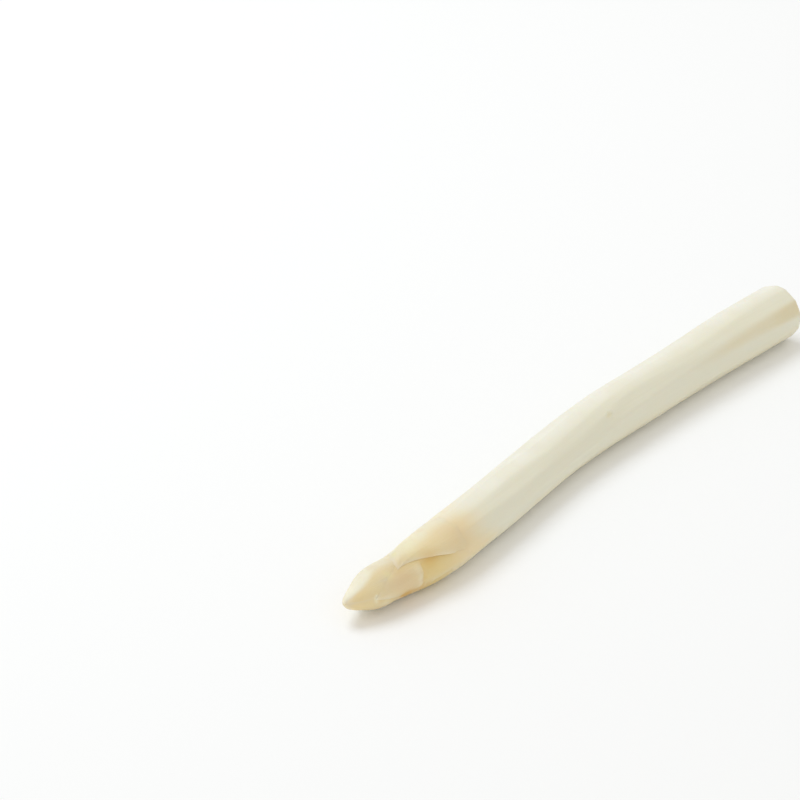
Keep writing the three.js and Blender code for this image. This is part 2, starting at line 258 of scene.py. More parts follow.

# small spots of the head, mostly blemishes, with painted shade among the tan spots and a painted highlight
# among the pale ones: turn, station, radius and strength
YELLOW_SPOTS = ((-9, 21.3, 1.6, 1.0), (4, 25.0, 6.0, 0.5), (36, 14.5, 1.5, 0.6),
                (78, 30.5, 1.3, 0.7), (-95, 27, 1.8, 0.6), (168, 12, 1.6, 0.6),
                (150, 33, 1.4, 0.5), (-150, 19, 1.5, 0.6))
# tan spots: the one at turn 46, station 41 is painted shade
TAN_SPOTS_AND_SHADE = ((54, 19.0, 6.5, 1.0), (92, 20.0, 6.0, 0.8), (46, 41.0, 6.0, 0.6), (-110, 14, 4.0, 0.6),
             (-70, 34, 4.5, 0.4), (-160, 26, 5.5, 0.6), (150, 12, 4.0, 0.5))
# pale spots: the row at station 8 is a painted highlight on a leaf's apex
PALE_SPOTS_AND_HIGHLIGHTS = ((75, 8.4, 0.45, 1.0), (81, 8.2, 0.5, 1.0), (87, 8.1, 0.5, 1.0), (93, 8.2, 0.5, 1.0),
              (98, 8.4, 0.45, 1.0), (84, 24.6, 1.2, 0.3), (62, 24.4, 1.2, 0.3), (104, 24.6, 1.2, 0.3),
              (-40, 30, 2.5, 0.5), (104, 12.0, 1.4, 0.4), (-10, 1.5, 1.8, 0.8))
# orange spots: painted warm shade in the creases along the lower outline and in the bare patch
CREASE_SHADE_SPOTS = ((54, 29.0, 3.0, 0.4), (116, 18.3, 1.0, 0.9), (117, 19.0, 1.4, 1.0),
                (118, 20.2, 1.5, 1.0), (120, 21.6, 1.5, 0.85), (122, 23.4, 1.5, 0.6),
                (122, 25.5, 1.6, 0.55), (122, 27.8, 1.6, 0.45), (134, 21.0, 1.8, 0.7))
SPOTS = {"yellow_spots": YELLOW_SPOTS, "tan_spots_and_shade": TAN_SPOTS_AND_SHADE, "pale_spots_and_highlights": PALE_SPOTS_AND_HIGHLIGHTS,
         "crease_shade_spots": CREASE_SHADE_SPOTS}

# ------------------------------------------------------------------ how fine the meshes are

STALK_COLUMNS = 132
STALK_RINGS = 400
FIRST_CUTS = 20  # rings of the first of two subdivisions
FACE_RINGS = 26
ROUNDED_RINGS = 6  # of those, the ones that round off the edge of the cut
FIRST_RING = 0.02  # station of the ring next to the tip
HEAD_CROWDING = 0.62  # share of the rings' places that crowds them towards the head
HEAD_MARGIN = 12  # the stalk is fitted under the leaves up to here past the head's end
LEAF_POINT_SPACING = 0.8  # before the leaf is subdivided once
EXTRA_ROWS = 6
APEX_CROWDING = 1.9  # over 1 brings a leaf's rows closer together at its apex
DOUBLES = 0.002  # points of a leaf's apex that are closer than this are one
OUTLINE_ROWS = 28  # points along a margin, and along a base, when distances from them are taken
OUTLINE_COLUMNS = 17
OUTLINE_CROWDING = 1.7

# ------------------------------------------------------------------ curves along the spear


def smoothstep(x, low, high):
    t = np.clip((x - low) / (high - low), 0.0, 1.0)
    return t * t * (3.0 - 2.0 * t)


def lerp(a, b, share):
    return a + (b - a) * share


def curve_through(pairs):
    """A smooth curve through (station, value) pairs, as a function of an array of stations."""
    places, values = np.array(pairs, float).T
    slopes = np.empty_like(values)
    slopes[1:-1] = (values[2:] - values[:-2]) / (places[2:] - places[:-2])
    slopes[0] = (values[1] - values[0]) / (places[1] - places[0])
    slopes[-1] = (values[-1] - values[-2]) / (places[-1] - places[-2])

    def curve(station):
        s = np.clip(station, places[0], places[-1])
        i = np.clip(np.searchsorted(places, s, side="left") - 1, 0, len(places) - 2)
        span = places[i + 1] - places[i]
        t = (s - places[i]) / span
        leaving = t * (1 - t) ** 2 * slopes[i] * span
        arriving = t * t * (t - 1) * slopes[i + 1] * span
        return lerp(values[i], values[i + 1], t * t * (3 - 2 * t)) + leaving + arriving

    return curve


body_radius = curve_through(RADIUS)
sideways = curve_through(SIDEWAYS)
warm_edge = curve_through(PAINTED_SHADE_EDGE)
warm_run = curve_through(PAINTED_SHADE_RUN)
upper_ridges = [curve_through(pairs) for pairs in UPPER_RIDGES]


def outer_radius(s):
    nose = RADIUS[0][1] * np.sqrt(np.maximum(s, 0) / NOSE_LENGTH)
    return np.where(s >= NOSE_LENGTH, body_radius(s), nose)


def resting_reach(s):
    """How far the ground is under the axis."""
    return outer_radius(s) * math.cos(math.radians(FLAT_TURN / 2)) - SETTLE


def axis_point(s):
    height = lerp(TIP_HEIGHT, resting_reach(REST_START), smoothstep(s, 0, REST_START))
    height = height - HEAD_SAG * np.sin(math.pi * np.clip(s / REST_START, 0, 1)) ** 2
    height = np.where(s >= REST_START, resting_reach(s), height)
    return np.stack([TIP_X + s, TIP_Y + sideways(s), height], axis=-1)


def axis_frame(s):
    """The directions along the axis, sideways and up at each station."""
    step = 0.5
    along = axis_point(np.minimum(s + step, LENGTH)) - axis_point(np.maximum(s - step, 0))
    along /= np.linalg.norm(along, axis=-1, keepdims=True)
    side = np.cross([0.0, 0.0, 1.0], along)
    side /= np.linalg.norm(side, axis=-1, keepdims=True)
    return along, side, np.cross(along, side)


def turn_between(turn, other):
    """How far a turn is past another one, from -180 to 180 degrees."""
    return (turn - other + 180.0) % 360.0 - 180.0


def ripple(s, turn, waves, phase):
    """An even, seamless unevenness from -1 to 1: waves is (wavelength along, crests around)."""
    total = np.zeros(np.broadcast(s, turn).shape)
    for k, (length, crests) in enumerate(waves):
        sway = np.sin(2 * math.pi * s / length + phase + 2.4 * k)
        total += np.sin(np.radians(turn) * crests + 1.7 * sway + phase * (k + 1) + k)
    return total / len(waves)


# ------------------------------------------------------------------ the outer form


def ridge_turns(s):
    """The turns of the ridges between the peeler strokes, one row for each ridge."""
    rows = []
    for index in range(FLATS):
        if index < len(upper_ridges):
            rows.append(upper_ridges[index](s))
        elif index in REST_RIDGES:
            rows.append(np.full(s.shape, REST_RIDGES[index]))
        else:
            wave = np.sin(s / RIDGE_WAVE * 2 * math.pi + index * RIDGE_PHASE)
            rows.append(FIRST_RIDGE + index * FLAT_TURN + RIDGE_SWAY * wave)
    return rows + [rows[0] + 360.0]


def stroke_share(index, s, off_centre):
    """How far a stroke has come to its full depth. off_centre is 0 at its middle, 1 at its ridges."""
    start = HEAD_END + START_SPREAD * math.sin(START_STEP * index + START_PHASE) + TONGUE * off_centre**2
    return smoothstep(s, start - PEEL_RUN, start + PEEL_RUN)


def slant(offset):
    """How much nearer a flat is at its middle than at some degrees from it, as a share."""
    return np.cos(np.radians(np.minimum(np.abs(offset), WIDEST_HALF)))


def peeled_section(s, turn):
    """Radius of the peeled section with sharp ridges."""
    round_radius = outer_radius(s)
    radius = round_radius.copy()
    ridges = ridge_turns(s)
    for index in range(FLATS):
        half = (ridges[index + 1] - ridges[index]) / 2
        offset = turn_between(turn, ridges[index] + half)
        share = stroke_share(index, s, np.abs(offset) / half)
        flat = round_radius * np.cos(np.radians(half)) / slant(offset)
        radius = np.where(np.abs(offset) <= half, lerp(round_radius, flat, share * FLATNESS), radius)
    for middle, first, last, bite in EXTRA_STROKES:
        run = smoothstep(s, first, first + STROKE_RUN) * (1 - smoothstep(s, last - STROKE_RUN, last))
        offset = turn_between(turn, middle + STROKE_SWAY * np.sin(s / STROKE_WAVE + middle))
        flat = (round_radius - bite * run) / slant(offset)
        radius = np.where(run > 0, np.minimum(radius, flat), radius)
    return radius


def section(s, turn):
    """Radius of the section with its ridges rounded off."""
    radius = 0.0
    total = 0.0
    for step in np.linspace(-1, 1, RIDGE_SAMPLES):
        weight = math.exp(-2.0 * step * step)
        radius = radius + weight * peeled_section(s, turn + step * RIDGE_BLUR)
        total += weight
    return radius / total


def flesh_point(s, turn, depth, floor=0.0):
    """Places at stations, turns and depths, in millimetres in the row frame, none below a floor."""
    along, side, up = axis_frame(s)
    angle = np.radians(turn)[..., None]
    outwards = up * np.cos(angle) - side * np.sin(angle)
    radius = section(s, turn)
    point = axis_point(s) + outwards * radius[..., None]
    step = 0.1
    taper = (outer_radius(s + step) - outer_radius(s)) / step
    towards = np.maximum(NOSE_CENTRE, s + radius * taper)
    inwards = axis_point(s) + along * (towards - s)[..., None] - point
    inwards /= np.linalg.norm(inwards, axis=-1, keepdims=True)
    point += inwards * depth[..., None]
    point[..., 2] = np.maximum(point[..., 2], floor)
    return point


# ------------------------------------------------------------------ how the scale leaves lie


def leaf_turn(index, v):
    return FIRST_LEAF_TURN + index * GOLDEN_ANGLE + SCALE_LEAVES[index].swing * v**8


def half_width(index, left, v):
    """Degrees from a leaf's middle to its left or its right margin, which wavers a little."""
    leaf = SCALE_LEAVES[index]
    narrow = np.clip(v, 0, 1)
    width, sharpness, power = (np.where(left, a, b) for a, b in zip(leaf.left, leaf.right))
    phase = 1.9 * index + np.where(left, -2.7, 2.7)
    waver = 1 + 0.014 * np.sin(9 * v + phase) + 0.009 * np.sin(23 * v + 2.2 * phase)
    return width * (1 - narrow**sharpness) ** power * waver


def base_shift(index, u, v):
    """How far a free base strays from an even arc, and how its corners are rounded off."""
    if SCALE_LEAVES[index].sink:
        return np.zeros(np.broadcast(u, v).shape)
    waver = np.sin(5.0 * u + 1.3 * index) + 0.5 * np.sin(11.0 * u)
    return (BASE_WAVER * waver - BASE_CORNERS * np.abs(u) ** 3) * (1 - smoothstep(v, 0, BASE_FADE))


def leaf_place(index, u, v):
    """Station and turn of a place on a leaf: u is across it, -1 to 1, and v is 1 at its apex."""
    leaf = SCALE_LEAVES[index]
    s = leaf.base - leaf.length * v + base_shift(index, u, v)
    return s, leaf_turn(index, v) + u * half_width(index, u < 0, v)


def place_on_leaf(index, s, turn):
    """Where a place lies under or beside a leaf: its v and u, how many degrees it is from the
    leaf's middle, and whether it is covered."""
    leaf = SCALE_LEAVES[index]
    v = np.clip((leaf.base - s) / leaf.length, 0, 1)
    offset = turn_between(turn, leaf_turn(index, v))
    reach = half_width(index, offset < 0, v)
    u = np.clip(offset / np.maximum(reach, 1e-6), -1, 1)
    end = leaf.base + base_shift(index, u, 0)
    covered = (np.abs(offset) < reach) & (s > leaf.base - leaf.length) & (s < end)
    return v, u, offset, covered


def free_outline(index):
    """The margins of a leaf as stations and turns, and its base too where that is free."""
    v = 1 - (1 - np.linspace(0, 1, OUTLINE_ROWS)) ** OUTLINE_CROWDING
    u = np.linspace(-1, 1, OUTLINE_COLUMNS)
    left, right = np.full(v.shape, -1.0), np.full(v.shape, 1.0)
    parts = [leaf_place(index, left, v), leaf_place(index, right, v[::-1])]
    if not SCALE_LEAVES[index].sink:
        parts.append(leaf_place(index, u[::-1], np.zeros(u.shape)))
    return np.concatenate(parts, axis=1)


def beyond_margin(index, s, turn, covered):
    """Millimetres from a leaf's free margins, less than 0 where the leaf covers the place."""
    stations, turns = free_outline(index)
    radius = outer_radius(s)
    nearest = np.full(s.shape, 1e6)
    for k in range(len(stations) - 1):
        along, ahead = s - stations[k], stations[k + 1] - stations[k]
        around = np.radians(turn_between(turn, turns[k])) * radius
        aside = np.radians(turns[k + 1] - turns[k]) * radius
        share = (along * ahead + around * aside) / np.maximum(ahead**2 + aside**2, 1e-9)
        share = np.clip(share, 0, 1)
        nearest = np.minimum(nearest, (along - share * ahead) ** 2 + (around - share * aside) ** 2)
    return np.where(covered, -1, 1) * np.sqrt(nearest)


def side_value(pair, offset):
    """A margin's value, which changes softly from the left side's to the right side's."""
    return lerp(pair[0], pair[1], smoothstep(offset, -20, 20))


def leaf_thickness(leaf, u, v, offset):
    middle = (1 - np.abs(u) ** 2.5) * (1 - v**3)
    share = lerp(side_value(leaf.edge, offset), 1, middle)
    thin, taper = SUNK_BASE if leaf.sink else FREE_BASE
    share = share * lerp(thin, 1, smoothstep(leaf.length * v, 0, taper))
    return leaf.thickness * share


def leaf_rise(leaf, u, v, offset, inside, swell):
    """How far a leaf stands over what it covers: by the bud under it and by its keel, and how
    far it curves down towards its margins."""
    keel = leaf.keel * (1 - np.abs(u)) ** 1.3 * smoothstep(v, *KEEL_RUN) * smoothstep(1 - v, 0, KEEL_END)
    down = side_value(leaf.puff, offset) * (1 - smoothstep(inside, -0.4, PUFF_RUN))
    return swell * (1 - u * u) * np.sin(math.pi * v) + keel - down


def grown_in(leaf, offset, v):
    """1 where a margin has grown together with what it lies on."""
    left, right = leaf.grown
    until = np.where(offset < 0, left, right)
    return np.where(until > 0, 1 - smoothstep(v, until - GROWN_FADE, until + GROWN_FADE), 0.0)


def clear_of_base(leaf, s):
    """0 at a base that is let in, and 1 from where it has come out of the skin."""
    return smoothstep(leaf.base - s, BASE_START, BASE_RUN) if leaf.sink else 1.0


def depth_under(count, s, turn, look):
    """How deep the skin lies under the first so many leaves, which are the outermost ones."""
    deepest = np.zeros(s.shape)
    for index, leaf in enumerate(SCALE_LEAVES[:count]):
        v, u, offset, covered = place_on_leaf(index, s, turn)
        beyond = beyond_margin(index, s, turn, covered)
        share = 1 - smoothstep(beyond, CLEAR, CLEAR + side_value(leaf.rise, offset))
        share = lerp(share, smoothstep(-beyond, 0.3, GROWN_RUN), grown_in(leaf, offset, v))
        share = share * clear_of_base(leaf, s)
        inner = deepest - leaf_rise(leaf, u, v, offset, -beyond, look.swell) + LEAF_GAP
        inner = inner + leaf_thickness(leaf, u, v, offset)
        deepest = np.where(share > 0, np.maximum(deepest, inner * share), deepest)
    return deepest


# ------------------------------------------------------------------ masks for relief and colour


def spots(s, turn, places):
    """Soft round spots: turn, station, radius and strength of each."""
    mask = np.zeros(s.shape)
    for spot_turn, spot_station, size, strength in places:
        around = np.radians(turn_between(turn, spot_turn)) * outer_radius(s)
        away = np.hypot(s - spot_station, around) / size
        mask = np.maximum(mask, strength * np.exp(-(away**2)))
    return mask


def crevice_shade_mask(count, s, turn):
    """How close a place is to the free margins of the first so many leaves, from 0 to 1: the mask of the
    shade painted into the crevices beside them.
    """
    closest = np.zeros(s.shape)
    for index, leaf in enumerate(SCALE_LEAVES[:count]):
        v, _, offset, covered = place_on_leaf(index, s, turn)
        way = np.maximum(beyond_margin(index, s, turn, covered), 0)
        free = (1 - grown_in(leaf, offset, v)) * side_value(leaf.mark, offset) * clear_of_base(leaf, s)
        closest = np.maximum(closest, np.exp(-((way / CREVICE_SHADE_RUN) ** 2)) * free)
    return closest * smoothstep(s, *CREVICE_SHADE_START)


def bare_share(s, turn, right):
    """1 where a scale leaf is gone, from the patch's left side to a turn."""
    patch = BARE_PATCH
    across = smoothstep(turn, patch["left"], patch["left"] + patch["edge"])
    across = across * (1 - smoothstep(turn, right - patch["edge"], right))
    start = smoothstep(s, patch["from"] - 0.5, patch["from"])
    return across * (start * (1 - smoothstep(s, patch["full"], patch["to"])))


def bare_depth(s, turn):
    """How much lower the skin lies where a scale leaf is gone."""
    return BARE_PATCH["depth"] * bare_share(s, turn, BARE_PATCH["low_right"])


def skin_share(s, turn):
    """1 where the skin is on, falling softly to 0 on the peeled stalk behind the head."""
    sway = sum(height * np.sin(np.radians(waves * turn) + phase) for waves, phase, height in SKIN_SWAY)
    return 1 - smoothstep(s + sway, *SKIN_FADE)


def warmth(s, turn):
    """1 on the side of the spear that is painted in deeper, warmer shade, and 0 on its pale top, which is
    painted light.
    """
    past = turn_between(turn, warm_edge(s))
    start, full, fade, end = PAINTED_SHADE_BACK
    front = smoothstep(past, -warm_run(s), warm_run(s)) * (1 - smoothstep(past, *PAINTED_SHADE_END))
    back = smoothstep(-past, start, full) * (1 - smoothstep(-past, fade, end))
    return np.maximum(front, PAINTED_SHADE_BACK_SHARE * back)


def scar_masks(s, turn):
    """The hollow of each leaf scar and the raised lip behind it, from 0 to 1."""
    hollow = np.zeros(s.shape)
    lip = np.zeros(s.shape)
    rim_place, rim_width = SCAR_RIM
    for number, (scar_turn, scar_station, strength) in enumerate(SCARS):
        radius = outer_radius(np.float64(scar_station))
        around = np.radians(turn_between(turn, scar_turn)) * radius
        along = s - scar_station
        size = 0.85 + 0.15 * math.sin(3.1 * number)
        pointed = np.clip(1 + along / (SCAR_POINT * SCAR_LENGTH * size), 0.05, 1)
        reach = np.hypot(along / (SCAR_LENGTH * size / 2), around / (SCAR_WIDTH * size / 2 * pointed))
        hollow = np.maximum(hollow, strength * (1 - smoothstep(reach, 0.35, 1.1)))
        rim = np.exp(-((reach - rim_place) / rim_width) ** 2) * smoothstep(along, -0.4, 1.2)
        lip = np.maximum(lip, strength * rim)
    return hollow, lip


def deep_stroke(s, turn):
    """Where the last stroke went deeper near the cut end."""
    stroke = DEEP_STROKE
    half = lerp(stroke["narrow"], stroke["wide"], smoothstep(s, stroke["from"], LENGTH))
    across = np.abs(turn_between(turn, stroke["turn"]))
    across = 1 - smoothstep(across, half - stroke["edge"], half + stroke["edge"])
    first = smoothstep(s, stroke["from"], stroke["full"])
    return across * lerp(smoothstep(s, *stroke["deep"]), first, stroke["share"])


# ------------------------------------------------------------------ mesh tools


def deselect_all():
    if bpy.context.object and bpy.context.object.mode != "OBJECT":
        bpy.ops.object.mode_set(mode="OBJECT")
    bpy.ops.object.select_all(action="DESELECT")


def name_active(name):
    piece = bpy.context.object
    piece.name = name
    piece.data.name = name
    return piece


def places_of(piece):
    places = np.empty(len(piece.data.vertices) * 3)
    piece.data.vertices.foreach_get("co", places)
    return places.reshape(-1, 3)


def move_to(piece, places):
    piece.data.vertices.foreach_set("co", np.ascontiguousarray(places, dtype=np.float32).ravel())
    piece.data.update()


def store(piece, **marks):
    """Keeps values or vectors for each vertex as attributes, which the materials read."""
    for name, values in marks.items():
        kind, key = ("FLOAT_VECTOR", "vector") if values.ndim == 2 else ("FLOAT", "value")
        attribute = piece.data.attributes.new(name, kind, "POINT")
        attribute.data.foreach_set(key, np.ascontiguousarray(values, dtype=np.float32).ravel())


def stored(piece, name):
    values = np.empty(len(piece.data.vertices), np.float32)
    piece.data.attributes[name].data.foreach_get("value", values)
    return values.astype(float)


def store_colour_marks(piece, s, turn):
    # the side's painted shade is kept with the colour marks
    store(piece, skin=skin_share(s, turn), bud=1 - smoothstep(s, *BUD_FADE), warm=warmth(s, turn))
    store(piece, **{name: spots(s, turn, places) for name, places in SPOTS.items()})


def straightened(s, turn, depth):
    """Places in the spear as if it were straight, in metres, for patterns that run along it."""
    angle = np.radians(turn)
    reach = outer_radius(s) - depth
    return np.stack([s, reach * np.cos(angle), reach * np.sin(angle)], axis=-1) * MM


def apply_modifier(piece, kind, **settings):
    modifier = piece.modifiers.new(kind.title(), kind)
    for key, value in settings.items():
        setattr(modifier, key, value)
    bpy.context.view_layer.objects.active = piece
    bpy.ops.object.modifier_apply(modifier=modifier.name)


def finish_piece(piece, node):
    deselect_all()
    piece.select_set(True)
    bpy.context.view_layer.objects.active = piece
    bpy.ops.object.shade_smooth()
    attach(piece, "root")
    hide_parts(node)


# ------------------------------------------------------------------ shader nodes


def feed(tree, node, inputs):
    """Sets a node's inputs, each to a value or to the socket that feeds it."""
    for key, value in inputs.items():
        if isinstance(value, bpy.types.NodeSocket):
            tree.links.new(value, node.inputs[key])
        else:
            node.inputs[key].default_value = value


def add_node(tree, kind, inputs=None, **settings):
    node = tree.nodes.new(kind)
    node.location = (220 * (len(tree.nodes) % 8), -260 * (len(tree.nodes) // 8))
    for key, value in settings.items():
        setattr(node, key, value)
    feed(tree, node, inputs or {})
    return node


def add_math(tree, operation, first, second=0.0, clamp=False):
    inputs = {0: first, 1: second}
    return add_node(tree, "ShaderNodeMath", inputs, operation=operation, use_clamp=clamp).outputs[0]


def add_mix(tree, share, first, second):
    """One colour changed to another by a share."""
    inputs = {0: share, 6: first, 7: second}
    return add_node(tree, "ShaderNodeMix", inputs, data_type="RGBA", clamp_factor=True).outputs[2]


def add_tint(tree, colour, mask, share, tint):
    """A tint over a colour, by a share of a mask, which is a socket or an attribute's name."""
    if isinstance(mask, str):
        mask = add_attribute(tree, mask)
    return add_mix(tree, add_math(tree, "MULTIPLY", mask, share), colour, tint)


def add_range(tree, value, low, high):
    """A value brought from low..high to 0..1, with soft ends."""
    inputs = {"Value": value, "From Min": low, "From Max": high}
    return add_node(tree, "ShaderNodeMapRange", inputs, interpolation_type="SMOOTHSTEP").outputs[0]


def add_spread(tree, value, low, high):
    """A value brought from 0..1 to low..high."""
    inputs = {"Value": value, "To Min": low, "To Max": high}
    return add_node(tree, "ShaderNodeMapRange", inputs).outputs[0]


def add_noise(tree, place, scale, **inputs):
    """Noise from 0 to 1 with a little detail."""
    inputs = {"Vector": place, "Scale": scale, "Detail": 2.0, **inputs}
    return add_node(tree, "ShaderNodeTexNoise", inputs).outputs[0]


def add_scaled(tree, place, scale):
    """A place with each of its coordinates multiplied by one of scale's."""
    inputs = {0: place, 1: scale}
    return add_node(tree, "ShaderNodeVectorMath", inputs, operation="MULTIPLY").outputs[0]


def add_attribute(tree, name, output="Fac"):
    return add_node(tree, "ShaderNodeAttribute", attribute_name=name).outputs[output]


def new_group(name, output, kind, **inputs):
    """A node group with one output. An input is given by its kind and default. Gives the group,
    its input sockets by name, and the socket that its result goes to."""
    group = bpy.data.node_groups.new(name, "ShaderNodeTree")
    for title, (input_kind, default) in inputs.items():
        socket = group.interface.new_socket(title.replace("_", " "), in_out="INPUT",
                                            socket_type=f"NodeSocket{input_kind}")
        if default is not None:
            socket.default_value = default
    group.interface.new_socket(output, in_out="OUTPUT", socket_type=f"NodeSocket{kind}")
    start = group.nodes.new("NodeGroupInput")
    start.location = (-300, 0)
    end = group.nodes.new("NodeGroupOutput")
    end.location = (1900, 0)
    return group, start.outputs, end.inputs[output]


def place_group(tree, name, **inputs):
    """Places a node group and gives its output."""
    node = add_node(tree, "ShaderNodeGroup", node_tree=bpy.data.node_groups[name])
    feed(tree, node, {title.replace("_", " "): value for title, value in inputs.items()})
    return node.outputs[0]


# ------------------------------------------------------------------ node groups


def make_fibre_group():
    """Long, fine streaks that run along the spear, from 0 to 1."""
    group, given, result = new_group(
        "Fibres", "Streaks", "Float", Position=("Vector", None), Along=("Float", 60.0),
        Across=("Float", 1800.0), Contrast=("Float", 1.0))
    scale = add_node(group, "ShaderNodeCombineXYZ",
                     {"X": given["Along"], "Y": given["Across"], "Z": given["Across"]})
    place = add_scaled(group, given["Position"], scale.outputs[0])
    noise = add_noise(group, place, 1.0, Detail=3.0, Roughness=0.55)
    centred = add_math(group, "SUBTRACT", noise, 0.5)
    spread = add_math(group, "MULTIPLY", centred, given["Contrast"])
    group.links.new(add_math(group, "ADD", spread, 0.5, clamp=True), result)


def make_cloud_group():
    """Soft clouds of slightly different colour, from 0 to 1."""
    group, given, result = new_group(
        "Clouds", "Mask", "Float", Position=("Vector", None), Size=("Float", 0.006),
        Low=("Float", 0.35), High=("Float", 0.65))
    noise = add_noise(group, given["Position"], add_math(group, "DIVIDE", 1.0, given["Size"]))
    group.links.new(add_range(group, noise, given["Low"], given["High"]), result)


def make_relief_group():
    """Height of the fibres and of the fine pores, in metres, for a Bump node."""
    group, given, result = new_group(
        "Fine relief", "Height", "Float", Position=("Vector", None), Streaks=("Float", 0.5),
        Fibre_Height=("Float", 0.00003), Pore_Height=("Float", 0.00001))
    pores = add_noise(group, given["Position"], 2600.0)
    fibre = add_math(group, "MULTIPLY", given["Streaks"], given["Fibre Height"])
    pore = add_math(group, "MULTIPLY", pores, given["Pore Height"])
    group.links.new(add_math(group, "ADD", fibre, pore), result)


def make_crevice_shade_group():
    """Paints warm shade into a colour in the hollows beside the leaves' margins, and lightens free edges.
    """
    group, given, result = new_group(
        "Crevice shade and edges", "Colour", "Color", Colour=("Color", None),
        Hollow_Colour=("Color", None), Edge_Colour=("Color", None), Hollow=("Float", 0.0),
        Edge=("Float", 0.0))
    warmed = add_mix(group, given["Hollow"], given["Colour"], given["Hollow Colour"])
    group.links.new(add_mix(group, given["Edge"], warmed, given["Edge Colour"]), result)


# ------------------------------------------------------------------ materials


def new_material(name, look):
    """A moist, slightly translucent plant surface. Gives its tree and its surface shader."""
    material = bpy.data.materials.new(name)
    material.use_nodes = True
    tree = material.node_tree
    shader = tree.nodes["Principled BSDF"]
    shader.location = (1900, 0)
    tree.nodes["Material Output"].location = (2300, 0)
    feed(tree, shader, {
        "Subsurface Weight": look.translucency, "Subsurface Radius": (1.0, 0.72, 0.42),
        "Subsurface Scale": look.light_depth, "IOR": 1.4, "Specular IOR Level": 0.45})
    return tree, shader


def add_bump(tree, height):
    return add_node(tree, "ShaderNodeBump", {"Height": height, "Strength": 1.0, "Distance": 1.0}).outputs[0]


def spear_colour(tree, look, position, streaks):
    """Skin on the head and white flesh below it, both with painted light on the paler top and painted shade
    on the deeper side.
    """
    clouds = place_group(tree, "Clouds", Position=position, Size=0.011)
    small = place_group(tree, "Clouds", Position=position, Size=0.0035, Low=0.4, High=0.7)
    # painted shade of the side, 0 on the top that is painted as lit
    warm = add_attribute(tree, "warm")
    flesh = add_mix(tree, warm, look.flesh, look.flesh_painted_shade)
    flesh = add_tint(tree, flesh, clouds, 0.4, look.flesh_shade)
    flesh = add_tint(tree, flesh, streaks, 0.2, look.fibre)
    skin = add_mix(tree, warm, look.skin, look.skin_painted_shade)
    bud = add_mix(tree, warm, look.bud, look.bud_painted_shade)
    # the tan spots carry some painted shade, and the pale spots a painted highlight
    for mask, share, tint in ((clouds, 0.25, look.skin_shade), (small, 0.3, look.skin_blush),
                              ("bud", 0.9, bud), ("tan_spots_and_shade", 0.6, look.skin_tan_and_shade),
                              ("yellow_spots", 0.75, look.skin_yellow),
                              ("pale_spots_and_highlights", 0.9, look.skin_pale_and_highlight)):
        skin = add_tint(tree, skin, mask, share, tint)
    ragged = add_math(tree, "MULTIPLY", add_math(tree, "SUBTRACT", streaks, 0.5), 0.2)
    on = add_math(tree, "ADD", add_attribute(tree, "skin"), ragged)
    colour = add_mix(tree, add_range(tree, on, 0.0, 1.0), flesh, skin)
    return add_tint(tree, colour, "bare", 0.8, look.bare)


def finish_material(tree, shader, look, colour, crevice_shade, edges, roughness, height):
    """Adds painted shade in the crevices, pale edges and painted orange shade in the creases to a colour,
    and feeds the surface.
    """
    # painted shade in the crevices, stronger on the side with painted shade
    crevice_shade = add_spread(tree, add_attribute(tree, "warm"), 0.2 * crevice_shade, crevice_shade)
    colour = place_group(tree, "Crevice shade and edges", Colour=colour, Edge=edges, Edge_Colour=look.edge,
                         Hollow=add_math(tree, "MULTIPLY", add_attribute(tree, "hollow"), crevice_shade),
                         Hollow_Colour=look.hollow)
    # painted orange shade in the creases
    colour = add_tint(tree, colour, "crease_shade_spots", 0.9, look.crease_shade_orange)
    feed(tree, shader, {"Base Color": colour, "Roughness": roughness, "Normal": add_bump(tree, height)})


def make_flesh_material(name, look):
    tree, shader = new_material(name, look)
    position = add_attribute(tree, "straight", "Vector")
    streaks = place_group(tree, "Fibres", Position=position, Along=45.0, Across=1500.0, Contrast=1.6)
    colour = spear_colour(tree, look, position, streaks)
    # low is the underside, with painted warm bounce light
    for mask, share, tint in (("low", 0.5, look.flesh_low_painted_bounce), ("stroke", 0.8, look.deep_stroke),
                              ("scar", 0.3, look.scar)):
        colour = add_tint(tree, colour, mask, share, tint)
    height = place_group(tree, "Fine relief", Position=position, Streaks=streaks, Fibre_Height=0.00004)
    finish_material(tree, shader, look, colour, crevice_shade=0.75, edges=0.0,
                    roughness=add_spread(tree, streaks, 0.4, 0.56), height=height)


def make_scale_material(name, look):
    tree, shader = new_material(name, look)
    position = add_attribute(tree, "straight", "Vector")
    streaks = place_group(tree, "Fibres", Position=position, Along=70.0, Across=1200.0, Contrast=1.3)
    veins = add_noise(tree, add_attribute(tree, "veins", "Vector"), 1.0)
    lines = add_math(tree, "MULTIPLY", add_range(tree, veins, 0.42, 0.66), add_attribute(tree, "ribbed"))
    colour = add_tint(tree, spear_colour(tree, look, position, streaks), lines, 0.1, look.vein)
    edges = add_math(tree, "MULTIPLY", add_attribute(tree, "edge"), 0.4)
    height = place_group(tree, "Fine relief", Position=position, Streaks=lines, Fibre_Height=0.00003)
    finish_material(tree, shader, look, colour, crevice_shade=0.65, edges=edges,
                    roughness=add_spread(tree, lines, 0.42, 0.58), height=height)


